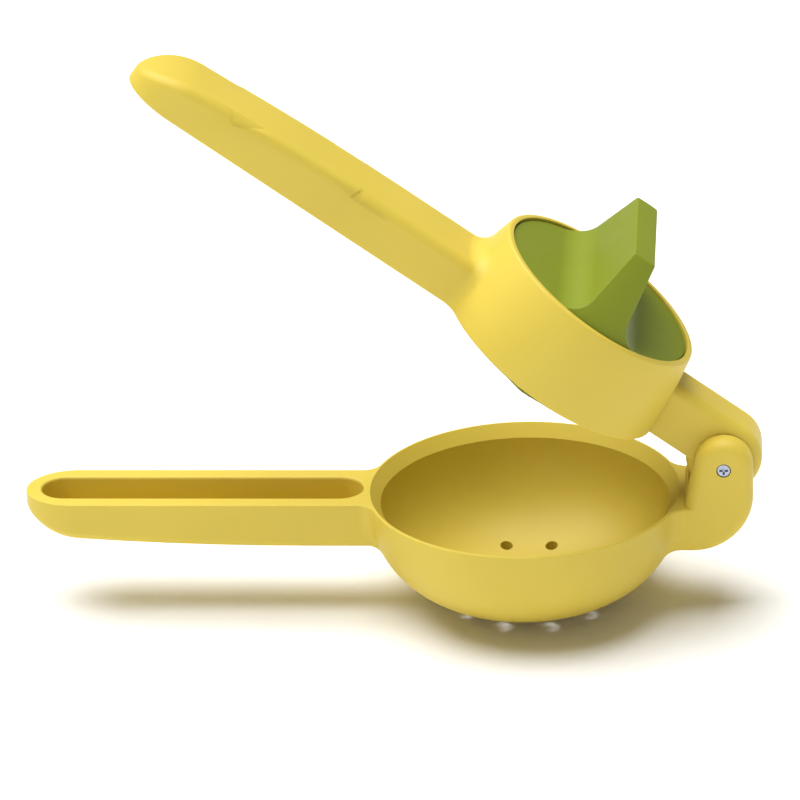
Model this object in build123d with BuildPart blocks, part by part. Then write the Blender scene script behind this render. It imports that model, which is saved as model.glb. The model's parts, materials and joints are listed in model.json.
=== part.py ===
"""Hinged citrus squeezer: two moulded levers on a steel hinge barrel, and a twisting press head.

Millimetres and degrees. The origin is the centre of the bowl's rim, +Z is up, +X runs to the hinge
and -X along the handles. The upper lever and its head are built closed, with the head's axis on the
bowl's axis, and then turned about the hinge to the open angle they are kept at.
"""

import os
from math import asin, atan2, cos, hypot, pi, sin, tan

from build123d import *

# Lower lever: the bowl
bowl_radius = 43.3  # outside, at the rim
bowl_depth = 32.7  # outside, from rim to pole
bowl_fullness = 2.4  # exponent of the bowl's superellipse: 2 is an ellipse, more is fuller
bowl_wall = 3.0
bevel_width = 2.8  # the sloping band inside the rim
bevel_depth = 3.5
rim_land = 0.8  # flat between the bevel and the outside
drain_hole_radius = 1.75
drain_inner_count = 5  # holes around the one in the middle
drain_inner_ring = 10.2  # the radius they lie on
drain_outer_count = 10
drain_outer_ring = 20.4

# Both handles
handle_width = 23.0
handle_depth = 13.4
handle_length = 94.4  # from the bowl's edge to the tip
nose_length = 14.0  # the tip is half an ellipse in plan
taper_offset = 16.7  # from the bowl's edge to where the outer face starts to rise
nose_reach = 15.7  # from where the taper turns into the rounded nose to the tip
taper_rise = 2.2
nose_rise = 8.9  # how far the outer face has risen at the very tip
handle_outer_fillet = 3.0
slot_width = 13.0
slot_inset = 4.4  # from the handle's tip to the slot
slot_offset = 1.1  # from the bowl's edge to the slot's other end
slot_edge_fillet = 0.8
handle_wall = 2.6  # under the slot
rim_edge_fillet = 0.5  # every outer edge in the plane of the rim
handle_blend = 5.0  # fillet where a handle runs into the bowl or the ring

# Hinge bracket on the lower lever
pin_offset = 11.4  # from the bowl's edge to the hinge axis
pin_z = 11.8
open_angle = 36.2  # from closed, as it is kept
bracket_width = 28.6
bracket_fillet = 3.4
bracket_blend = 6.0  # fillet where the bracket runs into the bowl
bracket_corner_radius = 16.6  # its lower outer corner
shoulder_length = 6.7  # the flat shoulder beside the bowl ends inside the ears
ear_radius = 8.0
ear_foot_offset = 0.6  # from the bowl's edge to the ears' front faces, in the rim plane
sill_height = 4.6  # front edge of the pocket between the ears
knuckle_radius = 10.4
knuckle_width = 15.4
knuckle_side_gap = 0.3  # on each side, between the ears
knuckle_round_gap = 0.6  # around the knuckle, to the bracket's pocket
knuckle_fillet = 3.0

# Hinge barrel and its screw
barrel_radius = 2.5
barrel_head_radius = 4.2
barrel_head_thickness = 1.6
hinge_screw_radius = 1.0
hinge_screw_head_radius = 1.9
hinge_screw_head_thickness = 1.6
hinge_screw_length = 8.0
near_seat = 1.2  # wall between the barrel's end and the screw head
head_recess = 0.15  # how far screw and barrel heads lie below the faces around them
head_edge_fillet = 0.35
driver_slot_share = 0.62  # span of a screw's cross recess, of the head's diameter
driver_slot_slenderness = 0.26  # width of the cross recess's arms, of their span
driver_depth_share = 0.55  # depth of the cross recess, of the head's thickness

# Upper lever: the ring that carries the press head
mating_gap = 6.9  # from the rim plane to the upper lever's flat face, closed
ring_lower_radius = 34.2
ring_top_radius = 30.4
ring_height = 24.0
ring_bulge = 0.5  # how far the ring's side swells past a straight cone
ring_lower_wall = 2.8
lip_width = 1.7
lip_outer_fillet = 0.9
lip_inner_fillet = 0.3
shelf_height = 8.1  # underside of the inner shelf, above the flat face
shelf_thickness = 3.0

# Press head: knob above the shelf, reamer below it
knob_gap = 0.4  # around the knob's edge
knob_drop = 0.7  # the knob's dish below the lip
fin_height = 21.6
fin_half_length = 19.6  # at the crest
fin_half_crest = 3.35
fin_half_foot = 6.8  # flank carried down to the dish
fin_root_fillet = 7.5
fin_crest_fillet = 0.4
knob_wall = 2.2
boss_radius = 9.6
spindle_radius = 8.0
spigot_flats = 9.0
spigot_height = 5.0
reamer_gap = 0.4
reamer_wall = 2.2
reamer_skirt = 1.2  # how far its straight edge reaches below the ring's flat face
reamer_tip_radius = 4.6
reamer_tip_drop = 12.0  # below the ring's flat face
rib_count = 10
rib_height = 1.8
rib_width = 2.2
rib_start = 6.5  # from the axis
rib_inset = 2.0  # from the reamer's edge
reamer_screw_radius = 1.75
reamer_screw_head_radius = 3.2
reamer_screw_head_thickness = 2.0
reamer_screw_length = 32.0
seal_section_radius = 0.9

# Clearances
running_fit = 0.06  # radial, where one piece turns in another
fixed_fit = 0.03  # radial, where a piece sits in another and stays
head_gap = 0.1  # radial, around screw and barrel heads
axial_gap = 0.3  # end float, and the ends of blind holes
trim_stock = 15.0  # blanks stand this far past the plane they are trimmed to
overrun = 1.0  # cutting outlines, and limits that edges are picked by, pass a face by this

pin_x = bowl_radius + pin_offset
shoulder_end = bowl_radius + shoulder_length
ear_foot_x = bowl_radius + ear_foot_offset
handle_end = bowl_radius + handle_length
taper_start = bowl_radius + taper_offset
taper_end = handle_end - nose_reach
slot_start = bowl_radius + slot_offset
hinge_axis = Axis((pin_x, 0, pin_z), (0, 1, 0))
bracket_half = bracket_width / 2
pocket_half = knuckle_width / 2 + knuckle_side_gap
shelf_top = mating_gap + shelf_height + shelf_thickness
ring_top = mating_gap + ring_height
knob_radius = ring_top_radius - lip_width - knob_gap
dish_height = ring_top - knob_drop
screw_seat_depth = head_recess + hinge_screw_head_thickness
barrel_seat_depth = head_recess + barrel_head_thickness
barrel_start = screw_seat_depth + near_seat + axial_gap - bracket_half
reamer_radius = ring_lower_radius - ring_lower_wall - reamer_gap
reamer_top = mating_gap + shelf_height - axial_gap
skirt_height = mating_gap - reamer_skirt
tip_height = mating_gap - reamer_tip_drop
reamer_screw_seat = tip_height + head_recess + reamer_screw_head_thickness
reamer_screw_top = reamer_screw_seat + reamer_screw_length
seal_height = shelf_top - shelf_thickness / 2
seal_floor_radius = spindle_radius - 2 * seal_section_radius - fixed_fit


def superellipse(radius, depth, fullness, rim_height=0, steps=14):
    """Points of a bowl's half section, from its rim on the right to its pole on the axis."""
    points = []
    for step in range(steps):
        angle = pi / 2 * step / steps
        across = radius * cos(angle) ** (2 / fullness)
        points.append((across, rim_height - depth * sin(angle) ** (2 / fullness)))
    points.append((0, rim_height - depth))
    return points


def ring_radius(height):
    """The ring's outside radius at a height above its flat face."""
    share = height / ring_height
    straight = ring_lower_radius + (ring_top_radius - ring_lower_radius) * share
    return straight + 4 * ring_bulge * share * (1 - share)


def cone_height(radius):
    """Height of the reamer's outermost cone at a distance from the head's axis."""
    slope = (skirt_height - tip_height) / (reamer_radius - reamer_tip_radius)
    return tip_height + slope * (radius - reamer_tip_radius)


def hinge_plane(station):
    """The plane across the hinge axis at a station along +Y, facing +Y."""
    return Plane(origin=(pin_x, station, pin_z), x_dir=(1, 0, 0), z_dir=(0, 1, 0))


def cross_recess(head_radius):
    """Cross recess of a screw head, for the sketch it is called in."""
    span = 2 * head_radius * driver_slot_share
    Rectangle(span, span * driver_slot_slenderness)
    Rectangle(span * driver_slot_slenderness, span)


def lies_at(height):
    """A filter for flat level faces at a height."""
    return lambda face: face.bounding_box().size.Z < 0.001 and abs(face.center().Z - height) < 0.001


def on_seam(edge, near, far):
    """Whether an edge lies between two distances from the bowl's axis, below the trimmed stock."""
    return near < edge.center().X < far and edge.center().Z < trim_stock / 2 + overrun


def handle_side(floor):
    """Side view of the space between the rim plane and the handle's outer face raised by a wall."""
    with BuildSketch(Plane.XZ) as side:
        with BuildLine():
            taper = TangentArc(
                (-taper_start, floor - handle_depth),
                (-taper_end, floor + taper_rise - handle_depth),
                tangent=(-1, 0),
            )
            nose = TangentArc(
                taper @ 1, (-handle_end - fixed_fit, floor + nose_rise - handle_depth), tangent=taper % 1
            )
            Polyline(
                nose @ 1,
                (-handle_end - fixed_fit, overrun),
                (0, overrun),
                (0, floor - handle_depth),
                taper @ 0,
            )
        make_face()
    return side.sketch


# The blank of both handles: flat on Z = 0, with the outer face below it.
with BuildPart() as handle_blank:
    with BuildSketch(Plane.XY):
        with Locations((-(handle_end - nose_length), 0)):
            Rectangle(handle_end - nose_length, handle_width, align=(Align.MIN, Align.CENTER))
            Ellipse(nose_length, handle_width / 2)
    extrude(amount=-handle_depth)
    extrude(handle_side(0), amount=handle_width, both=True, mode=Mode.INTERSECT)
    outer_edges = (
        handle_blank.edges()
        .filter_by(lambda edge: edge.bounding_box().max.Z < -0.5)
        .filter_by(lambda edge: edge.bounding_box().max.X - edge.bounding_box().min.X > 1)
    )
    fillet(outer_edges, handle_outer_fillet)
    with BuildSketch(Plane.XY):
        with Locations((-trim_stock, 0)):
            Rectangle(
                handle_end - nose_length - trim_stock, handle_width, align=(Align.MAX, Align.CENTER)
            )
    extrude(amount=trim_stock)


# The finger recess, cut into either handle from its flat face.
with BuildPart() as handle_recess:
    with BuildSketch(Plane.XY.offset(trim_stock)):
        with Locations((-(handle_end - slot_inset + slot_start) / 2, 0)):
            SlotOverall(handle_end - slot_inset - slot_start, slot_width)
    extrude(amount=-handle_depth - trim_stock)
    extrude(handle_side(handle_wall), amount=handle_width, both=True, mode=Mode.INTERSECT)

# Outline shared by the bracket's shoulder and its ears
ear_back = pin_x + ear_radius
ear_front_tilt = atan2(pin_z, pin_x - ear_foot_x) + asin(ear_radius / hypot(pin_x - ear_foot_x, pin_z))
heel_x = ear_back - bracket_corner_radius
heel_z = bracket_corner_radius - handle_depth


def heel_point(angle):
    """A point of the bracket's lower outer corner, turned from straight down towards the back."""
    return (
        heel_x + bracket_corner_radius * sin(angle),
        heel_z - bracket_corner_radius * cos(angle),
    )


# The shoulder between bowl and ears, with rounded lower edges and stock above the rim plane
with BuildPart() as shoulder_blank:
    shoulder_angle = asin((shoulder_end - heel_x) / bracket_corner_radius)
    with BuildSketch(Plane.XZ):
        with BuildLine():
            under = ThreePointArc(heel_point(0), heel_point(shoulder_angle / 2), heel_point(shoulder_angle))
            Polyline(
                under @ 1,
                (shoulder_end, trim_stock),
                (0, trim_stock),
                (0, -handle_depth),
                under @ 0,
            )
        make_face()
    extrude(amount=bracket_half, both=True)
    lower_edges = (
        shoulder_blank.edges()
        .filter_by(lambda edge: abs(edge.center().Y) > bracket_half - 0.01)
        .filter_by(lambda edge: edge.bounding_box().max.Z < bracket_fillet - handle_depth)
    )
    fillet(lower_edges, bracket_fillet)

# The ears and the heel below them, as one rounded block; the pocket is cut later.
with BuildPart() as ear_block:
    with BuildSketch(Plane.XZ):
        with BuildLine():
            ear_arc = ThreePointArc(
                (pin_x - ear_radius * sin(ear_front_tilt), pin_z + ear_radius * cos(ear_front_tilt)),
                (pin_x, pin_z + ear_radius),
                (ear_back, pin_z),
            )
            ear_heel = ThreePointArc(heel_point(pi / 2), heel_point(pi / 4), heel_point(0))
            Line(ear_arc @ 1, ear_heel @ 0)
            Polyline(
                ear_heel @ 1,
                (ear_foot_x - handle_depth / tan(ear_front_tilt), -handle_depth),
                ear_arc @ 0,
            )
        make_face()
    extrude(amount=bracket_half, both=True)
    side_edges = ear_block.edges().filter_by(lambda edge: abs(edge.center().Y) > bracket_half - 0.01)
    fillet(side_edges, bracket_fillet)

with BuildPart() as lower_lever:
    with BuildSketch(Plane.XZ):
        with BuildLine():
            Spline(superellipse(bowl_radius, bowl_depth, bowl_fullness), tangents=((0, -1), (-1, 0)))
            Polyline((0, -bowl_depth), (0, trim_stock), (bowl_radius, trim_stock), (bowl_radius, 0))
        make_face()
    revolve(axis=Axis.Z)
    add(handle_blank.part)
    add(shoulder_blank.part)
    bracket_seam = lower_lever.edges().filter_by(
        lambda edge: on_seam(edge, 0.8 * bowl_radius, bowl_radius)
    )
    fillet(bracket_seam, bracket_blend)
    handle_seam = lower_lever.edges().filter_by(
        lambda edge: on_seam(edge, -bowl_radius, -0.8 * bowl_radius)
    )
    fillet(handle_seam, handle_blend)
    split(bisect_by=Plane.XY, keep=Keep.BOTTOM)
    rim_edges = (
        lower_lever.faces()
        .sort_by(Axis.Z)[-1]
        .outer_wire()
        .edges()
        .filter_by(lambda edge: edge.center().X < shoulder_end - 0.1)
    )
    fillet(rim_edges, rim_edge_fillet)
    add(ear_block.part)
    # Inside of the bowl, with the sloping band below its rim
    inner_radius = bowl_radius - rim_land - bevel_width
    inner_depth = bowl_depth - bowl_wall - bevel_depth
    with BuildSketch(Plane.XZ):
        with BuildLine():
            inside = superellipse(inner_radius, inner_depth, bowl_fullness, -bevel_depth)
            Spline(inside, tangents=((0, -1), (-1, 0)))
            Polyline(
                (0, bowl_wall - bowl_depth),
                (0, axial_gap),
                (bowl_radius - rim_land, axial_gap),
                (bowl_radius - rim_land, 0),
                (inner_radius, -bevel_depth),
            )
        make_face()
    revolve(axis=Axis.Z, mode=Mode.SUBTRACT)
    with BuildSketch(Plane.XY.offset(-bowl_depth / 2)):
        Circle(drain_hole_radius)
        with PolarLocations(drain_inner_ring, drain_inner_count):
            Circle(drain_hole_radius)
        with PolarLocations(drain_outer_ring, drain_outer_count):
            Circle(drain_hole_radius)
    extrude(amount=-bowl_depth, mode=Mode.SUBTRACT)
    add(handle_recess.part, mode=Mode.SUBTRACT)
    # Pocket for the knuckle, open above its sill
    with BuildSketch(Plane.XZ):
        with Locations((pin_x, pin_z)):
            Circle(knuckle_radius + knuckle_round_gap)
        with Locations((pin_x, sill_height)):
            Rectangle(4 * ear_radius, 4 * ear_radius, align=(Align.CENTER, Align.MIN))
    extrude(amount=pocket_half, both=True, mode=Mode.SUBTRACT)
    # Stepped bore for the barrel and its screw
    with BuildSketch(hinge_plane(-bracket_half)):
        Circle(hinge_screw_head_radius + head_gap)
    extrude(amount=screw_seat_depth, mode=Mode.SUBTRACT)
    with BuildSketch(hinge_plane(-bracket_half)):
        Circle(hinge_screw_radius + fixed_fit)
    extrude(amount=bracket_half, mode=Mode.SUBTRACT)
    with BuildSketch(hinge_plane(barrel_start - axial_gap)):
        Circle(barrel_radius + fixed_fit)
    extrude(amount=bracket_width, mode=Mode.SUBTRACT)
    with BuildSketch(hinge_plane(bracket_half)):
        Circle(barrel_head_radius + head_gap)
    extrude(amount=-barrel_seat_depth, mode=Mode.SUBTRACT)
    mouth_edges = lower_lever.faces().filter_by(lies_at(0)).sort_by(SortBy.AREA)[-1].inner_wires()
    fillet(mouth_edges.sort_by(SortBy.LENGTH)[0].edges(), slot_edge_fillet)

with BuildPart() as hinge_barrel:
    with BuildSketch(hinge_plane(barrel_start)):
        Circle(barrel_radius)
    extrude(amount=bracket_half - barrel_seat_depth - barrel_start)
    with BuildSketch(hinge_plane(bracket_half - barrel_seat_depth)):
        Circle(barrel_head_radius)
    extrude(amount=barrel_head_thickness)
    head_edge = hinge_barrel.edges().filter_by(GeomType.CIRCLE).sort_by(Axis.Y)[-1]
    fillet(head_edge, head_edge_fillet)
    with BuildSketch(hinge_plane(barrel_start)):
        Circle(hinge_screw_radius + fixed_fit)
    extrude(amount=hinge_screw_length, mode=Mode.SUBTRACT)

with BuildPart() as hinge_screw:
    with BuildSketch(hinge_plane(screw_seat_depth - bracket_half)):
        Circle(hinge_screw_radius)
    extrude(amount=hinge_screw_length)
    with BuildSketch(hinge_plane(screw_seat_depth - bracket_half)):
        Circle(hinge_screw_head_radius)
    extrude(amount=-hinge_screw_head_thickness)
    head_edge = hinge_screw.edges().filter_by(GeomType.CIRCLE).sort_by(Axis.Y)[0]
    fillet(head_edge, head_edge_fillet)
    with BuildSketch(hinge_plane(head_recess - bracket_half)):
        cross_recess(hinge_screw_head_radius)
    extrude(amount=hinge_screw_head_thickness * driver_depth_share, mode=Mode.SUBTRACT)

# Upper lever, closed: the flat face looks down at Z = mating_gap.
lift = Location((0, 0, mating_gap))
with BuildPart() as upper_arm:
    with BuildSketch(Plane.XZ):
        with Locations((pin_x, pin_z)):
            Circle(knuckle_radius)
        with Locations((pin_x, mating_gap)):
            Rectangle(pin_x, pin_z + knuckle_radius - mating_gap, align=(Align.MAX, Align.MIN))
    extrude(amount=knuckle_width / 2, both=True)
    arm_edges = (
        upper_arm.edges()
        .filter_by(lambda edge: abs(edge.center().Y) > knuckle_width / 2 - 0.01)
        .filter_by(lambda edge: edge.center().X > 1)
    )
    fillet(arm_edges.filter_by(lambda edge: edge.center().Z > mating_gap + 0.01), knuckle_fillet)

with BuildPart() as closed_lever:
    with BuildSketch(Plane.XZ):
        with BuildLine():
            flank = Spline(
                [
                    (ring_radius(height), mating_gap + height)
                    for height in (-trim_stock, 0, ring_height / 2, ring_height)
                ]
            )
            Polyline(flank @ 1, (0, ring_top), (0, mating_gap - trim_stock), flank @ 0)
        make_face()
    revolve(axis=Axis.Z)
    add(handle_blank.part.mirror(Plane.XY).moved(lift))
    ring_seam = closed_lever.edges().filter_by(
        lambda edge: -ring_lower_radius - overrun < edge.center().X < -0.85 * ring_top_radius
        and overrun - trim_stock < edge.center().Z - mating_gap < handle_depth + overrun
        and abs(edge.center().Y) < handle_width / 2 + overrun
    )
    fillet(ring_seam, handle_blend)
    split(bisect_by=Plane.XY.offset(mating_gap), keep=Keep.TOP)
    add(upper_arm.part)
    # Through the ring: the knob's well above the shelf, the reamer's below it
    for start, end, radius in (
        (shelf_top, ring_top, ring_top_radius - lip_width),
        (mating_gap, mating_gap + shelf_height, ring_lower_radius - ring_lower_wall),
        (mating_gap, ring_top, spindle_radius + running_fit),
    ):
        with BuildSketch(Plane.XY.offset(start)):
            Circle(radius)
        extrude(amount=end - start, mode=Mode.SUBTRACT)
    add(handle_recess.part.mirror(Plane.XY).moved(lift), mode=Mode.SUBTRACT)
    with BuildSketch(hinge_plane(-knuckle_width)):
        Circle(barrel_radius + running_fit)
    extrude(amount=2 * knuckle_width, mode=Mode.SUBTRACT)
    lip = closed_lever.faces().filter_by(lies_at(ring_top))[0]
    fillet(lip.outer_wire().edges(), lip_outer_fillet)
    lip = closed_lever.faces().filter_by(lies_at(ring_top))[0]
    fillet(lip.inner_wires()[0].edges(), lip_inner_fillet)
    flat_face = closed_lever.faces().filter_by(lies_at(mating_gap)).sort_by(SortBy.AREA)[-1]
    fillet(flat_face.inner_wires().sort_by(SortBy.LENGTH)[0].edges(), slot_edge_fillet)
    flat_face = closed_lever.faces().filter_by(lies_at(mating_gap)).sort_by(SortBy.AREA)[-1]
    outline = flat_face.outer_wire().edges()
    fillet(outline.filter_by(lambda edge: edge.center().X < ring_lower_wall * 2), rim_edge_fillet)

with BuildPart() as closed_knob:
    with BuildSketch(Plane.YZ):
        Polygon(
            (0, shelf_top + axial_gap),
            (knob_radius, shelf_top + axial_gap),
            (knob_radius, dish_height),
            (fin_half_length, dish_height + fin_height),
            (0, dish_height + fin_height),
            align=None,
        )
    revolve(axis=Axis.Z)
    # A scoop on each side leaves the fin standing
    crest_height = dish_height + fin_height
    scoop_top = crest_height + overrun
    flank_slope = (fin_half_foot - fin_half_crest) / fin_height
    for side in (1, -1):
        with BuildSketch(Plane.XZ) as scoop:
            Polygon(
                (side * (fin_half_crest - flank_slope * overrun), scoop_top),
                (side * fin_half_foot, dish_height),
                (side * 2 * knob_radius, dish_height),
                (side * 2 * knob_radius, scoop_top),
                align=None,
            )
            root = scoop.vertices().sort_by_distance(Vector(side * fin_half_foot, dish_height))[0]
            fillet(root, fin_root_fillet)
        extrude(amount=2 * knob_radius, both=True, mode=Mode.SUBTRACT)
    crest_edges = closed_knob.edges().filter_by(lambda edge: edge.center().Z > crest_height - 0.01)
    fillet(crest_edges, fin_crest_fillet)
    # Hollow underside with a socketed boss
    with BuildSketch(Plane.XY.offset(shelf_top)):
        Circle(knob_radius - knob_wall)
        Circle(boss_radius, mode=Mode.SUBTRACT)
    extrude(amount=dish_height - knob_wall - shelf_top, mode=Mode.SUBTRACT)
    with BuildSketch(Plane.XY.offset(shelf_top)):
        RegularPolygon(spigot_flats / 2 + fixed_fit, 6, major_radius=False)
    extrude(amount=2 * axial_gap + spigot_height, mode=Mode.SUBTRACT)
    with BuildSketch(Plane.XY.offset(shelf_top)):
        Circle(reamer_screw_radius + fixed_fit)
    extrude(amount=reamer_screw_top + axial_gap - shelf_top, mode=Mode.SUBTRACT)

with BuildPart() as closed_reamer:
    with BuildSketch(Plane.XZ):
        Polygon(
            (0, reamer_top),
            (reamer_radius, reamer_top),
            (reamer_radius, skirt_height),
            (reamer_tip_radius, tip_height),
            (0, tip_height),
            align=None,
        )
    revolve(axis=Axis.Z)
    # Between the ribs the cone lies deeper
    with BuildSketch(Plane.XZ):
        Polygon(
            (rib_start, tip_height - rib_height),
            (reamer_radius - rib_inset, tip_height - rib_height),
            (reamer_radius - rib_inset, cone_height(reamer_radius - rib_inset) + rib_height),
            (rib_start, cone_height(rib_start) + rib_height),
            align=None,
        )
    revolve(axis=Axis.Z, mode=Mode.SUBTRACT)
    with BuildPart(mode=Mode.PRIVATE) as rib:
        with BuildSketch(Plane.XZ):
            Polygon(
                (rib_start - rib_inset, cone_height(rib_start - rib_inset) + rib_height + reamer_wall),
                (rib_start - rib_inset, cone_height(rib_start - rib_inset)),
                (reamer_radius - rib_inset / 2, cone_height(reamer_radius - rib_inset / 2)),
                (reamer_radius - rib_inset / 2, skirt_height + rib_height + reamer_wall),
                align=None,
            )
        extrude(amount=rib_width / 2, both=True)
        fillet(rib.edges().group_by(Axis.Z)[0], rib_width * 0.3)
    with PolarLocations(0, rib_count):
        add(rib.part)
    # Hollow top around the spindle
    floor_rise = rib_height + reamer_wall
    with BuildSketch(Plane.XZ):
        Polygon(
            (spindle_radius, reamer_top + axial_gap),
            (reamer_radius - reamer_wall, reamer_top + axial_gap),
            (reamer_radius - reamer_wall, cone_height(reamer_radius - reamer_wall) + floor_rise),
            (spindle_radius, cone_height(spindle_radius) + floor_rise),
            align=None,
        )
    revolve(axis=Axis.Z, mode=Mode.SUBTRACT)
    with BuildSketch(Plane.XY.offset(reamer_top)):
        Circle(spindle_radius)
    extrude(amount=shelf_top + axial_gap - reamer_top)
    with BuildSketch(Plane.XY.offset(shelf_top + axial_gap)):
        RegularPolygon(spigot_flats / 2, 6, major_radius=False)
    extrude(amount=spigot_height)
    with BuildSketch(Plane.XY.offset(seal_height - seal_section_radius - fixed_fit)):
        Circle(spindle_radius)
        Circle(seal_floor_radius, mode=Mode.SUBTRACT)
    extrude(amount=2 * (seal_section_radius + fixed_fit), mode=Mode.SUBTRACT)
    with BuildSketch(Plane.XY.offset(tip_height)):
        Circle(reamer_screw_head_radius + head_gap)
    extrude(amount=head_recess + reamer_screw_head_thickness, mode=Mode.SUBTRACT)
    with BuildSketch(Plane.XY.offset(tip_height)):
        Circle(reamer_screw_radius + fixed_fit)
    extrude(amount=ring_height * 2, mode=Mode.SUBTRACT)

with BuildPart() as closed_reamer_screw:
    with BuildSketch(Plane.XY.offset(reamer_screw_seat)):
        Circle(reamer_screw_radius)
    extrude(amount=reamer_screw_length)
    with BuildSketch(Plane.XY.offset(reamer_screw_seat)):
        Circle(reamer_screw_head_radius)
    extrude(amount=-reamer_screw_head_thickness)
    fillet(closed_reamer_screw.edges().filter_by(GeomType.CIRCLE).sort_by(Axis.Z)[0], head_edge_fillet)
    with BuildSketch(Plane.XY.offset(tip_height + head_recess)):
        cross_recess(reamer_screw_head_radius)
    extrude(amount=reamer_screw_head_thickness * driver_depth_share, mode=Mode.SUBTRACT)

with BuildPart() as closed_seal:
    with Locations((0, 0, seal_height)):
        Torus(seal_floor_radius + fixed_fit + seal_section_radius, seal_section_radius)

# Everything on the upper lever opens about the hinge.
with BuildPart() as upper_lever:
    add(closed_lever.part.rotate(hinge_axis, open_angle))

with BuildPart() as twist_knob:
    add(closed_knob.part.rotate(hinge_axis, open_angle))

with BuildPart() as reamer:
    add(closed_reamer.part.rotate(hinge_axis, open_angle))

with BuildPart() as reamer_screw:
    add(closed_reamer_screw.part.rotate(hinge_axis, open_angle))

with BuildPart() as reamer_seal:
    add(closed_seal.part.rotate(hinge_axis, open_angle))

os.makedirs("parts", exist_ok=True)
lower_lever.part.label = "lower_lever"
export_step(lower_lever.part, "parts/lower_lever.step")
hinge_barrel.part.label = "hinge_barrel"
export_step(hinge_barrel.part, "parts/hinge_barrel.step")
hinge_screw.part.label = "hinge_screw"
export_step(hinge_screw.part, "parts/hinge_screw.step")
upper_lever.part.label = "upper_lever"
export_step(upper_lever.part, "parts/upper_lever.step")
twist_knob.part.label = "twist_knob"
export_step(twist_knob.part, "parts/twist_knob.step")
reamer.part.label = "reamer"
export_step(reamer.part, "parts/reamer.step")
reamer_screw.part.label = "reamer_screw"
export_step(reamer_screw.part, "parts/reamer_screw.step")
reamer_seal.part.label = "reamer_seal"
export_step(reamer_seal.part, "parts/reamer_seal.step")
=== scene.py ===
"""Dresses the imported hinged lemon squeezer: moulded levers, a twisting press head and steel hinge hardware.

Metres, in the part's own frame: the origin is the centre of the bowl's rim, +Z is up, +X runs to the
hinge and -X along the handles. The press head is shaped about its own axis and then laid on it.
"""

import json
import math

import bmesh
import bpy
import numpy as np
from mathutils import Matrix, Vector

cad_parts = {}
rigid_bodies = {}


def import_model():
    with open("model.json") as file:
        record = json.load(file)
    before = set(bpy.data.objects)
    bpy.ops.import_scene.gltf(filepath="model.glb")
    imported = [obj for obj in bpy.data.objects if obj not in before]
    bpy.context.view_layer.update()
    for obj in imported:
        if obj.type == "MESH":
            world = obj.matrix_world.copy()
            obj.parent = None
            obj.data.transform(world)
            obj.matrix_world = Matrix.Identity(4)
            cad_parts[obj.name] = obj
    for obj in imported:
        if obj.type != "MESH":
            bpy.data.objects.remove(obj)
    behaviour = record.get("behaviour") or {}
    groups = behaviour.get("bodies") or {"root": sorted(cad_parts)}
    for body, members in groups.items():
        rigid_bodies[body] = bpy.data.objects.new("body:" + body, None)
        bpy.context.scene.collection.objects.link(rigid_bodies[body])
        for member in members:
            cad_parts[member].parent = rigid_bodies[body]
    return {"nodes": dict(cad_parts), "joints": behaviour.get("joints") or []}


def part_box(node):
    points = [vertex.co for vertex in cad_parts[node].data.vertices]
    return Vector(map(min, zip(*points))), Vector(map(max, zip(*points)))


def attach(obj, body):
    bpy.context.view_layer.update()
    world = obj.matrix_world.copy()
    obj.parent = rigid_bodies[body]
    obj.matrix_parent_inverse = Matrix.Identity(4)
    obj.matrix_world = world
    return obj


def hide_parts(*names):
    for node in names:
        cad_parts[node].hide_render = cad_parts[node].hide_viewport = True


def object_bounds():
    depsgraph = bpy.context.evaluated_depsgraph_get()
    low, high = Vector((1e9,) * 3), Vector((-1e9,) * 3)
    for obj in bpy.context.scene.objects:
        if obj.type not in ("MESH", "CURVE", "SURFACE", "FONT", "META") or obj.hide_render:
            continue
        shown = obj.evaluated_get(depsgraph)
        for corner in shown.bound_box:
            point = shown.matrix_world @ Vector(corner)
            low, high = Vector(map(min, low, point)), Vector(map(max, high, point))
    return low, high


bl_info = {
    "name": "Lemon Squeezer Finish",
    "version": (1, 0, 0),
    "blender": (4, 5, 0),
    "location": "View3D > Sidebar > Squeezer",
    "description": "Finishes, press head and studio of a hinged lemon squeezer",
    "category": "Object",
}

for leftover in list(bpy.data.objects):
    bpy.data.objects.remove(leftover)
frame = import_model()
CAD_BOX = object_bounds()
HEAD_JOINT = next(joint for joint in frame["joints"] if joint["name"] == "head_twist")
HINGE_JOINT = next(joint for joint in frame["joints"] if joint["name"] == "lever_hinge")
MM = 0.001
KNOB_LOW, KNOB_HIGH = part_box("twist_knob")

# Points closer than this are one, and a side of a carried-over triangle that is shorter is a sliver's.
MERGE_DISTANCE = 0.002 * MM
SLIVER_SIDE = 0.03 * MM

# Steps of the knob's grids: along a quarter of the fin's outline, its straight side, rounded corner
# and end, then down its crest, flank and hollow, and along an edge of the dish.
SIDE_STEPS, CORNER_STEPS, END_STEPS = 16, 6, 22
CREST_STEPS, FLANK_STEPS, HOLLOW_STEPS = 6, 8, 18
DISH_STEPS = 32

# From the squeezer to the light above, as a direction, and to the low light, in metres.
KEY_DIRECTION = Vector((-0.27, 0.18, 1.25))
FILL_OFFSET = Vector((-0.5, -1.4, 0.15))


def length(name, description, millimetres):
    """A length a user may change, given in millimetres and kept in metres."""
    return bpy.props.FloatProperty(
        name=name,
        description=description,
        default=millimetres * MM,
        min=0.0,
        precision=5,
        unit="LENGTH",
    )


def colour(name, description, value):
    """A colour a user may change, as linear red, green and blue."""
    return bpy.props.FloatVectorProperty(
        name=name, description=description, default=value, min=0.0, max=1.0, subtype="COLOR"
    )


def number(name, description, value, low=0.0, high=100.0):
    """A plain number a user may change."""
    return bpy.props.FloatProperty(name=name, description=description, default=value, min=low, max=high)


def angle(name, description, degrees):
    """An angle a user may change, given in degrees."""
    return bpy.props.FloatProperty(
        name=name, description=description, default=math.radians(degrees), subtype="ANGLE"
    )


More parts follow.
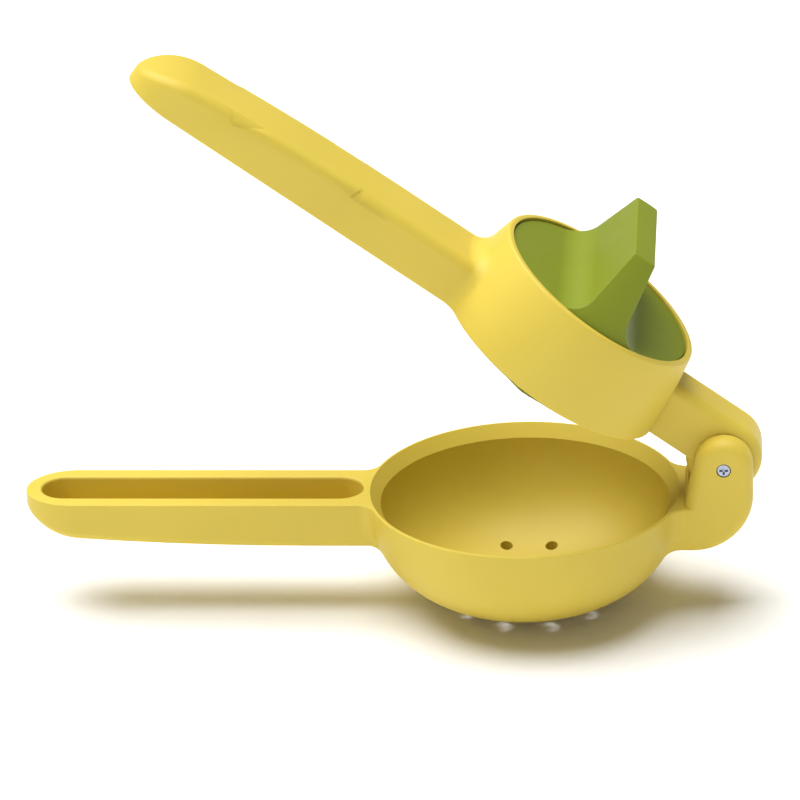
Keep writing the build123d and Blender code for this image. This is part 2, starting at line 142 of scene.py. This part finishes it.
class SqueezerFinish(bpy.types.PropertyGroup):
    """Colours and surface of the moulded and metal pieces."""

    lever_colour: colour("Lever colour", "Yellow plastic of both levers", (0.675, 0.515, 0.070))
    head_colour: colour("Head colour", "Green plastic of the knob and the reamer", (0.212, 0.254, 0.0145))
    steel_colour: colour("Steel colour", "Bare steel of screws and barrel", (0.36, 0.40, 0.50))
    seal_colour: colour("Seal colour", "Rubber of the spindle's seal", (0.02, 0.02, 0.021))
    lever_roughness: number("Lever roughness", "Roughness of the yellow plastic", 0.46, 0.0, 1.0)
    head_roughness: number("Head roughness", "Roughness of the green plastic", 0.56, 0.0, 1.0)
    grain_size: length("Grain size", "Size of the mould texture's grains", 0.28)
    grain_depth: length("Grain depth", "Depth of the mould texture", 0.012)


class SqueezerKnob(bpy.types.PropertyGroup):
    """Sizes of the knob that turns the press head, about the head's axis, from the top of the shelf."""

    radius: bpy.props.FloatProperty(
        name="Knob radius",
        description="Outside radius of the knob",
        default=(KNOB_HIGH.y - KNOB_LOW.y) / 2,
        unit="LENGTH",
        precision=5,
    )
    base_height: length("Base height", "Underside of the knob's edge", 0.3)
    dish_height: length("Dish height", "Flat floor on both sides of the fin", 12.2)
    crest_height: length("Crest height", "Top of the fin", 33.8)
    crest_half_length: length("Crest half length", "Half the fin's length at its crest", 19.6)
    crest_half_width: length("Crest half width", "Half the fin's thickness at its crest", 3.35)
    foot_half_width: length("Foot half width", "Half the fin's thickness carried down to the dish", 6.8)
    root_radius: length("Root radius", "Hollow between the fin's flank and the dish", 7.5)
    edge_radius: length("Edge radius", "Rounding of the fin's upright edges", 0.55)
    edge_fade: length("Edge fade", "Height above the dish where that rounding is whole", 3.3)
    crest_radius: length("Crest radius", "Rounding around the fin's crest", 0.5)
    wall: length("Wall", "Wall of the hollow underside", 2.2)
    boss_radius: length("Boss radius", "Boss in the middle of the underside", 9.6)
    socket_flats: length("Socket flats", "Distance across the boss's six-sided socket", 9.06)
    socket_depth: length("Socket depth", "Top of the socket above the shelf", 5.6)
    pilot_radius: length("Pilot radius", "Radius of the hole for the head's screw", 1.78)
    pilot_depth: length("Pilot depth", "Top of the screw's hole above the shelf", 11.35)


class SqueezerStudio(bpy.types.PropertyGroup):
    """Camera, lights and floor."""

    azimuth: angle("Azimuth", "Where the camera stands around the squeezer", 4.101)
    elevation: angle("Elevation", "Height of the camera above the horizon", 24.726)
    roll: angle("Roll", "Turn of the camera about its own line of sight", -1.751)
    distance: length("Distance", "From the camera to the aim point", 1550.3)
    aim_right: bpy.props.FloatProperty(
        name="Aim right", description="Aim point, to the right of the bowl's centre", default=-0.03347
    )
    aim_up: bpy.props.FloatProperty(
        name="Aim up", description="Aim point, above the bowl's centre", default=0.02505
    )
    lens: number("Lens", "Focal length in millimetres, on a sensor 36 wide", 254.1, 10.0, 1000.0)
    floor_colour: colour("Floor colour", "Plain pale floor", (0.93, 0.93, 0.93))
    floor_reach: length("Floor reach", "From the middle of the floor to its sides", 6000.0)
    floor_gap: length("Floor gap", "Between the squeezer's lowest point and the floor", 0.05)
    surround: number("Surround", "Strength of the even light from all sides", 0.16)
    key_strength: number("Key strength", "Strength of the wide soft light from above", 4.7, 0.0, 100.0)
    key_spread: angle("Key spread", "Angle over which the light from above is spread", 62.0)
    fill_power: number("Fill power", "Power of the low soft light from the front left", 3.8, 0.0, 1000.0)
    fill_size: length("Fill size", "Side of the square low light", 800.0)


# ---------------------------------------------------------------- materials


def add_node(tree, kind, settings=None, **inputs):
    """A node of a kind, with attributes from settings and socket values or links from inputs."""
    node = tree.nodes.new(kind)
    for name, value in (settings or {}).items():
        setattr(node, name, value)
    for name, value in inputs.items():
        socket = node.inputs[name.replace("_", " ")]
        if isinstance(value, bpy.types.NodeSocket):
            tree.links.new(value, socket)
        else:
            socket.default_value = value
    return node


def new_material(name, **fixed):
    """A material with one principled shader and its object coordinates."""
    material = bpy.data.materials.new(name)
    material.use_nodes = True
    tree = material.node_tree
    tree.nodes.clear()
    shader = add_node(tree, "ShaderNodeBsdfPrincipled", **fixed)
    output = add_node(tree, "ShaderNodeOutputMaterial")
    tree.links.new(shader.outputs["BSDF"], output.inputs["Surface"])
    place = add_node(tree, "ShaderNodeTexCoord").outputs["Object"]
    return material, tree, shader, place


def noise(tree, place, scale, detail=3.0, roughness=0.5):
    """The grey output of a noise texture at a scale in cells per metre."""
    return add_node(
        tree, "ShaderNodeTexNoise", Vector=place, Scale=scale, Detail=detail, Roughness=roughness
    ).outputs["Fac"]


def remap(tree, value, low, high, start=0.3, end=0.7):
    """A grey value stretched from between start and end to between low and high."""
    node = add_node(tree, "ShaderNodeMapRange", Value=value)
    for socket, level in zip(("From Min", "From Max", "To Min", "To Max"), (start, end, low, high)):
        node.inputs[socket].default_value = level
    return node.outputs["Result"]


def shaded(tree, base, factor, amount):
    """A colour that runs from a little darker to a little lighter than the base with a grey factor."""
    mix = add_node(tree, "ShaderNodeMix", {"data_type": "RGBA"}, Factor=factor)
    low, high = (socket for socket in mix.inputs if socket.type == "RGBA")
    low.default_value = [channel * (1 - amount) for channel in base] + [1.0]
    high.default_value = [min(1.0, channel * (1 + amount)) for channel in base] + [1.0]
    return next(socket for socket in mix.outputs if socket.type == "RGBA")


def moulded_plastic(name, base, roughness, finish):
    """Satin injection-moulded plastic: a fine matt grain, slight flow shading and patches of gloss."""
    material, tree, shader, place = new_material(name)
    flow = remap(tree, noise(tree, place, scale=24.0, detail=2.0), low=0.0, high=1.0)
    tree.links.new(shaded(tree, base, flow, amount=0.035), shader.inputs["Base Color"])
    gloss = noise(tree, place, scale=90.0, detail=4.0)
    patches = remap(tree, gloss, low=roughness - 0.04, high=roughness + 0.05)
    tree.links.new(patches, shader.inputs["Roughness"])
    grain = noise(tree, place, scale=1.0 / finish.grain_size, detail=2.0, roughness=0.6)
    bump = add_node(tree, "ShaderNodeBump", Strength=0.5, Distance=finish.grain_depth, Height=grain)
    tree.links.new(bump.outputs["Normal"], shader.inputs["Normal"])
    shader.inputs["IOR"].default_value = 1.49
    shader.inputs["Specular IOR Level"].default_value = 0.28
    return material


def turned_steel(name, base, centre, turn, axis):
    """Steel with fine rings from turning, about one of its own axes, and a little grime between them."""
    material, tree, shader, place = new_material(name, Metallic=1.0)
    mapping = add_node(tree, "ShaderNodeMapping", {"vector_type": "TEXTURE"}, Vector=place)
    mapping.inputs["Location"].default_value = centre
    mapping.inputs["Rotation"].default_value = turn
    rings = add_node(
        tree,
        "ShaderNodeTexWave",
        {"wave_type": "RINGS", "rings_direction": axis},
        Vector=mapping.outputs["Vector"],
        Scale=900.0,
        Distortion=1.5,
        Detail=2.0,
    ).outputs["Fac"]
    grime = remap(tree, noise(tree, place, scale=700.0, detail=4.0), low=0.0, high=1.0)
    tree.links.new(shaded(tree, base, grime, amount=0.12), shader.inputs["Base Color"])
    polish = remap(tree, rings, low=0.24, high=0.36, start=0.0, end=1.0)
    tree.links.new(polish, shader.inputs["Roughness"])
    bump = add_node(tree, "ShaderNodeBump", Strength=0.4, Distance=0.004 * MM, Height=rings)
    tree.links.new(bump.outputs["Normal"], shader.inputs["Normal"])
    return material


def seal_rubber(name, base):
    """Smooth moulded rubber with a faint bloom."""
    material, tree, shader, place = new_material(name)
    bloom = remap(tree, noise(tree, place, scale=400.0, detail=4.0), low=0.0, high=1.0)
    tree.links.new(shaded(tree, base, bloom, amount=0.3), shader.inputs["Base Color"])
    dullness = remap(tree, bloom, low=0.55, high=0.7, start=0.0, end=1.0)
    tree.links.new(dullness, shader.inputs["Roughness"])
    return material


def wear(node_name, material):
    """Gives a carried-over node its finish."""
    node = frame["nodes"][node_name]
    node.data.materials.clear()
    node.data.materials.append(material)


# ---------------------------------------------------------------- meshes


def head_place(points):
    """Points about the head's axis, from the top of the shelf, moved to their place on the upper lever.

    The head's own z runs along its joint's axis, its y is the hinge's direction and its x points to the
    hinge, so place = origin + x * across + y * along + z * axis.
    """
    axis = np.array(HEAD_JOINT["axis"])
    along = np.array((0.0, 1.0, 0.0))
    across = np.cross(along, axis)
    return np.array(HEAD_JOINT["pos_m"]) + points @ np.array((across, along, axis))


def grid_faces(rows, columns, closed=False):
    """Quads of a grid of points kept row after row; a closed grid joins its last column to its first.

    They face outwards where the rows run down or away and the columns counterclockwise.
    """
    across = columns if closed else columns - 1
    row, column = np.meshgrid(np.arange(rows - 1), np.arange(across), indexing="ij")
    here, below = row * columns, (row + 1) * columns
    beside = (column + 1) % columns
    corners = (here + column, below + column, below + beside, here + beside)
    return np.stack(corners, axis=-1).reshape(-1, 4)


def merge_points(mesh, without_slivers=False):
    """Merges a mesh's doubled points and, where asked, takes its slivers out."""
    work = bmesh.new()
    work.from_mesh(mesh)
    bmesh.ops.remove_doubles(work, verts=work.verts, dist=MERGE_DISTANCE)
    if without_slivers:
        bmesh.ops.dissolve_degenerate(work, edges=work.edges, dist=SLIVER_SIDE)
        bmesh.ops.triangulate(work, faces=work.faces)
    work.to_mesh(mesh)
    work.free()


def place_piece(name, mesh, material, body, sharp_angle):
    """An object of a mesh that is shaded smoothly up to an angle in degrees and rides on a body."""
    mesh.set_sharp_from_angle(angle=math.radians(sharp_angle))
    mesh.materials.clear()
    mesh.materials.append(material)
    piece = bpy.data.objects.new(name, mesh)
    bpy.context.scene.collection.objects.link(piece)
    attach(piece, body)
    return piece


def moulded_skin(name, node_name, material, body, sharp_angle=80.0):
    """A node's own surface, its loose triangles joined, in the node's place.

    Each normal is the mean of the faces that meet there, weighted by their area.
    """
    mesh = frame["nodes"][node_name].data.copy()
    merge_points(mesh, without_slivers=True)
    if mesh.has_custom_normals:
        mesh.attributes.remove(mesh.attributes["custom_normal"])
    skin = place_piece(name, mesh, material, body, sharp_angle)
    skin.modifiers.new("weighted_shading", "WEIGHTED_NORMAL").keep_sharp = True
    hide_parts(node_name)


def make_piece(name, patches, material, body, sharp_angle=20.0):
    """One closed mesh from patches about the head's axis, its seams and poles merged."""
    starts = np.cumsum([0] + [len(points) for points, _ in patches[:-1]])
    points = head_place(np.concatenate([points for points, _ in patches]))
    faces = np.concatenate([faces + start for (_, faces), start in zip(patches, starts)])
    mesh = bpy.data.meshes.new(name)
    mesh.from_pydata(points.tolist(), [], faces.tolist(), shade_flat=False)
    merge_points(mesh)
    return place_piece(name, mesh, material, body, sharp_angle)


def fin_outline(half_width, radius, corner):
    """One quarter of the fin's level outlines, for arrays of half widths, end radii and corner radii.

    A straight side at x = half width, a corner rounded inside both, and an end on a circle about the
    axis. The corner's centre is at x = half width - corner, as far from the axis as radius - corner.
    """
    half_width, radius, corner = (value[:, None] for value in (half_width, radius, corner))
    centre_y = np.sqrt((radius - corner) ** 2 - (half_width - corner) ** 2)
    share = np.linspace(0, 1, SIDE_STEPS + 1)[None, :-1]
    side = np.stack((half_width + 0 * share, centre_y * share), axis=-1)
    tangent = np.arctan2(half_width - corner, centre_y)
    turn = (math.pi / 2 - tangent) * np.linspace(0, 1, CORNER_STEPS + 1)[None, :-1]
    bend = np.stack((half_width - corner + corner * np.cos(turn), centre_y + corner * np.sin(turn)), axis=-1)
    swing = tangent * np.linspace(1, 0, END_STEPS + 1)[None, :]
    end = np.stack((radius * np.sin(swing), radius * np.cos(swing)), axis=-1)
    return np.concatenate((side, bend, end), axis=1)


def all_round(quarter):
    """A whole outline, counterclockwise, from its quarter between the +X and the +Y axis, mirrored twice."""
    there = quarter[..., :-1, :]
    back = quarter[..., :0:-1, :]
    turns = ((there, (1, 1)), (back, (-1, 1)), (there, (-1, -1)), (back, (1, -1)))
    return np.concatenate([points * np.array(signs) for points, signs in turns], axis=-2)


def fin_patch(size):
    """The fin as a stack of level outlines, from its crest down to the dish.

    Its half width runs down a straight flank and round a hollow, and its ends lie on the cone that
    joins the crest's ends to the knob's edge. At the crest both draw in along a quarter circle.
    The rounding of its upright edges grows from nothing at the dish. Also gives the distance from
    the axis to the hollow's centre, where the dish begins.
    """
    rise = size.crest_height - size.dish_height
    lean = (size.foot_half_width - size.crest_half_width) / rise
    hollow_centre = size.foot_half_width + size.root_radius * (math.hypot(1, lean) - lean)
    sweep = np.linspace(math.pi + math.atan(lean), 1.5 * math.pi, HOLLOW_STEPS + 1)
    hollow_x = hollow_centre + size.root_radius * np.cos(sweep)
    hollow_z = size.root_radius * (1 + np.sin(sweep))
    turn = np.linspace(0, math.pi / 2, CREST_STEPS + 1)
    crest_z = rise - size.crest_radius * (1 - np.cos(turn))
    flank_z = np.linspace(crest_z[-1], hollow_z[0], FLANK_STEPS + 1)[1:-1]
    levels = np.concatenate((crest_z, flank_z, hollow_z))
    inset = np.zeros_like(levels)
    inset[: len(turn)] = size.crest_radius * (1 - np.sin(turn))
    flank_x = size.foot_half_width - lean * levels[: -len(hollow_x)]
    half_width = np.concatenate((flank_x, hollow_x)) - inset
    radius = size.radius - (size.radius - size.crest_half_length) / rise * levels - inset
    corner = size.edge_radius * np.clip(levels / size.edge_fade, 0, 1)
    outlines = all_round(fin_outline(half_width, radius, corner))
    height = np.broadcast_to((size.dish_height + levels)[:, None, None], outlines.shape[:2] + (1,))
    points = np.concatenate((outlines, height), axis=-1)
    columns = points.shape[1]
    rung = np.arange(-columns // 4, columns // 4)
    cap = np.stack((rung, rung + 1, columns // 2 - rung - 1, columns // 2 - rung), axis=-1) % columns
    faces = np.concatenate((cap, grid_faces(len(levels), columns, closed=True)))
    return (points.reshape(-1, 3), faces), hollow_centre


def dish_patch(size, hollow_centre, side):
    """The flat floor on one side of the fin: a segment of a circle, ruled across from the fin's foot."""
    turn = np.linspace(math.asin(hollow_centre / size.radius), math.pi / 2, DISH_STEPS + 1)[:, None]
    share = np.linspace(-1, 1, 2 * SIDE_STEPS + 1)[None, :]
    x = side * size.radius * np.sin(turn) + 0 * share
    y = side * size.radius * np.cos(turn) * share
    points = np.stack((x, y, np.full_like(x, size.dish_height)), axis=-1)
    return points.reshape(-1, 3), grid_faces(*x.shape)


def underside_patch(size, hollow_centre):
    """The wall and the hollow underside: one path of radius and height turned about the axis.

    In the socket the radius at each angle is that of a hexagon with its flats at the socket's size.
    """
    foot_turn = math.asin(hollow_centre / size.radius)
    turn = np.concatenate(
        (
            np.linspace(math.pi / 2, foot_turn, DISH_STEPS + 1),
            np.linspace(foot_turn, 0, END_STEPS + 1)[1:],
        )
    )
    ring = all_round(np.stack((np.sin(turn), np.cos(turn)), axis=-1))
    around = np.arctan2(ring[:, 1], ring[:, 0])
    one_flat = math.pi / 3
    hexagon = size.socket_flats / 2 / np.cos(around % one_flat - one_flat / 2)
    ceiling = size.dish_height - size.wall
    path = (
        (size.radius, size.dish_height),
        (size.radius, size.base_height),
        (size.radius - size.wall, size.base_height),
        (size.radius - size.wall, ceiling),
        (size.boss_radius, ceiling),
        (size.boss_radius, size.base_height),
        (hexagon, size.base_height),
        (hexagon, size.socket_depth),
        (size.pilot_radius, size.socket_depth),
        (size.pilot_radius, size.pilot_depth),
        (0.0, size.pilot_depth),
    )
    rows = [
        np.column_stack((ring * np.broadcast_to(radius, len(ring))[:, None], np.full(len(ring), height)))
        for radius, height in path
    ]
    return np.concatenate(rows), grid_faces(len(rows), len(ring), closed=True)


# ---------------------------------------------------------------- operators


class SQUEEZER_OT_levers(bpy.types.Operator):
    """Give both levers their satin yellow moulding"""

    bl_idname = "squeezer.levers"
    bl_label = "Finish levers"

    def execute(self, context):
        finish = context.scene.squeezer_finish
        material = moulded_plastic("lemon_satin", finish.lever_colour, finish.lever_roughness, finish)
        wear("lower_lever", material)
        moulded_skin("hinged_lever", "upper_lever", material, "top")
        return {"FINISHED"}


class SQUEEZER_OT_press_head(bpy.types.Operator):
    """Build the finned knob and finish the reamer and the spindle's seal"""

    bl_idname = "squeezer.press_head"
    bl_label = "Build press head"

    def execute(self, context):
        finish = context.scene.squeezer_finish
        size = context.scene.squeezer_knob
        material = moulded_plastic("lime_satin", finish.head_colour, finish.head_roughness, finish)
        fin, hollow_centre = fin_patch(size)
        patches = [
            fin,
            dish_patch(size, hollow_centre, side=1),
            dish_patch(size, hollow_centre, side=-1),
            underside_patch(size, hollow_centre),
        ]
        knob = make_piece("finned_knob", patches, material, "twist")
        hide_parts("twist_knob")
        wear("reamer", material)
        wear("reamer_seal", seal_rubber("seal_black", finish.seal_colour))
        return {"FINISHED"}


class SQUEEZER_OT_hardware(bpy.types.Operator):
    """Give the hinge barrel and both screws their steel"""

    bl_idname = "squeezer.hardware"
    bl_label = "Finish hardware"

    def execute(self, context):
        steel = context.scene.squeezer_finish.steel_colour
        hinge = turned_steel("hinge_steel", steel, HINGE_JOINT["pos_m"], (0.0, 0.0, 0.0), "Y")
        wear("hinge_barrel", hinge)
        wear("hinge_screw", hinge)
        axis = HEAD_JOINT["axis"]
        lean = (0.0, math.atan2(axis[0], axis[2]), 0.0)
        wear("reamer_screw", turned_steel("head_steel", steel, HEAD_JOINT["pos_m"], lean, "Z"))
        return {"FINISHED"}


class SQUEEZER_OT_studio(bpy.types.Operator):
    """Set up the floor, the soft lights and the camera"""

    bl_idname = "squeezer.studio"
    bl_label = "Set up studio"

    def execute(self, context):
        studio = context.scene.squeezer_studio
        low, high = CAD_BOX
        centre = (low + high) / 2
        make_floor(studio, low.z - studio.floor_gap)
        make_surround(context.scene, studio.surround)
        wide_light("key_light", KEY_DIRECTION, studio.key_spread, studio.key_strength)
        soft_light("fill_light", centre + FILL_OFFSET, centre, studio.fill_size, studio.fill_power)
        context.scene.camera = make_camera(studio)
        context.scene.view_settings.view_transform = "Standard"
        return {"FINISHED"}


def make_floor(studio, height):
    """A wide square floor at a height, with a faint cloudy finish."""
    reach = studio.floor_reach
    mesh = bpy.data.meshes.new("studio_floor")
    corners = [(-reach, -reach), (reach, -reach), (reach, reach), (-reach, reach)]
    mesh.from_pydata([(x, y, height) for x, y in corners], [], [(0, 1, 2, 3)])
    material, tree, shader, place = new_material("studio_paper", Roughness=0.85)
    shader.inputs["Specular IOR Level"].default_value = 0.1
    cloud = remap(tree, noise(tree, place, scale=2.0), low=0.0, high=1.0)
    tree.links.new(shaded(tree, studio.floor_colour, cloud, amount=0.004), shader.inputs["Base Color"])
    mesh.materials.append(material)
    floor = bpy.data.objects.new("studio_floor", mesh)
    bpy.context.scene.collection.objects.link(floor)


def make_surround(scene, strength):
    """Even white light from all sides."""
    world = bpy.data.worlds.new("studio_surround")
    world.use_nodes = True
    background = world.node_tree.nodes["Background"]
    background.inputs["Color"].default_value = (1.0, 1.0, 1.0, 1.0)
    background.inputs["Strength"].default_value = strength
    scene.world = world


def soft_light(name, position, target, size, power):
    """A square area light that faces a target."""
    light = bpy.data.lights.new(name, "AREA")
    light.size = size
    light.energy = power
    lamp = bpy.data.objects.new(name, light)
    lamp.location = position
    lamp.rotation_euler = (target - position).to_track_quat("-Z", "Y").to_euler()
    bpy.context.scene.collection.objects.link(lamp)


def wide_light(name, source, spread, strength):
    """Even light from one side of the sky, spread over an angle."""
    light = bpy.data.lights.new(name, "SUN")
    light.angle = spread
    light.energy = strength
    lamp = bpy.data.objects.new(name, light)
    lamp.rotation_euler = source.to_track_quat("Z", "Y").to_euler()
    bpy.context.scene.collection.objects.link(lamp)


def make_camera(studio):
    """The camera on its line of sight, rolled about it, aimed beside the bowl's centre.

    It stands from its aim point along back = (sin(turn) cos(tilt), -cos(turn) cos(tilt), sin(tilt)).
    """
    turn, tilt, roll = studio.azimuth, studio.elevation, studio.roll
    back = Vector((math.sin(turn) * math.cos(tilt), -math.cos(turn) * math.cos(tilt), math.sin(tilt)))
    level = Vector((math.cos(turn), math.sin(turn), 0.0))
    upright = back.cross(level)
    right = math.cos(roll) * level + math.sin(roll) * upright
    above = math.cos(roll) * upright - math.sin(roll) * level
    data = bpy.data.cameras.new("studio_camera")
    data.lens = studio.lens
    data.clip_start, data.clip_end = 0.1, 20.0
    camera = bpy.data.objects.new("studio_camera", data)
    bpy.context.scene.collection.objects.link(camera)
    place = Matrix((right, above, back)).transposed().to_4x4()
    place.translation = studio.aim_right * level + studio.aim_up * upright + back * studio.distance
    camera.matrix_world = place
    return camera


class SQUEEZER_PT_panel(bpy.types.Panel):
    """Lists the squeezer's steps and their sizes"""

    bl_idname = "SQUEEZER_PT_panel"
    bl_label = "Lemon squeezer"
    bl_space_type = "VIEW_3D"
    bl_region_type = "UI"
    bl_category = "Squeezer"

    def draw(self, context):
        for operator in OPERATORS:
            self.layout.operator(operator.bl_idname)
        for group_name, group in GROUPS.items():
            box = self.layout.box()
            for name in group.__annotations__:
                box.prop(getattr(context.scene, group_name), name)


GROUPS = {
    "squeezer_finish": SqueezerFinish,
    "squeezer_knob": SqueezerKnob,
    "squeezer_studio": SqueezerStudio,
}
OPERATORS = (SQUEEZER_OT_levers, SQUEEZER_OT_press_head, SQUEEZER_OT_hardware, SQUEEZER_OT_studio)
CLASSES = (*GROUPS.values(), *OPERATORS, SQUEEZER_PT_panel)


def register():
    for each in CLASSES:
        bpy.utils.register_class(each)
    for name, group in GROUPS.items():
        setattr(bpy.types.Scene, name, bpy.props.PointerProperty(type=group))


def unregister():
    for name in GROUPS:
        delattr(bpy.types.Scene, name)
    for each in reversed(CLASSES):
        bpy.utils.unregister_class(each)


def main():
    register()
    bpy.ops.squeezer.levers()
    bpy.ops.squeezer.press_head()
    bpy.ops.squeezer.hardware()
    bpy.ops.squeezer.studio()


if __name__ == "__main__":
    main()
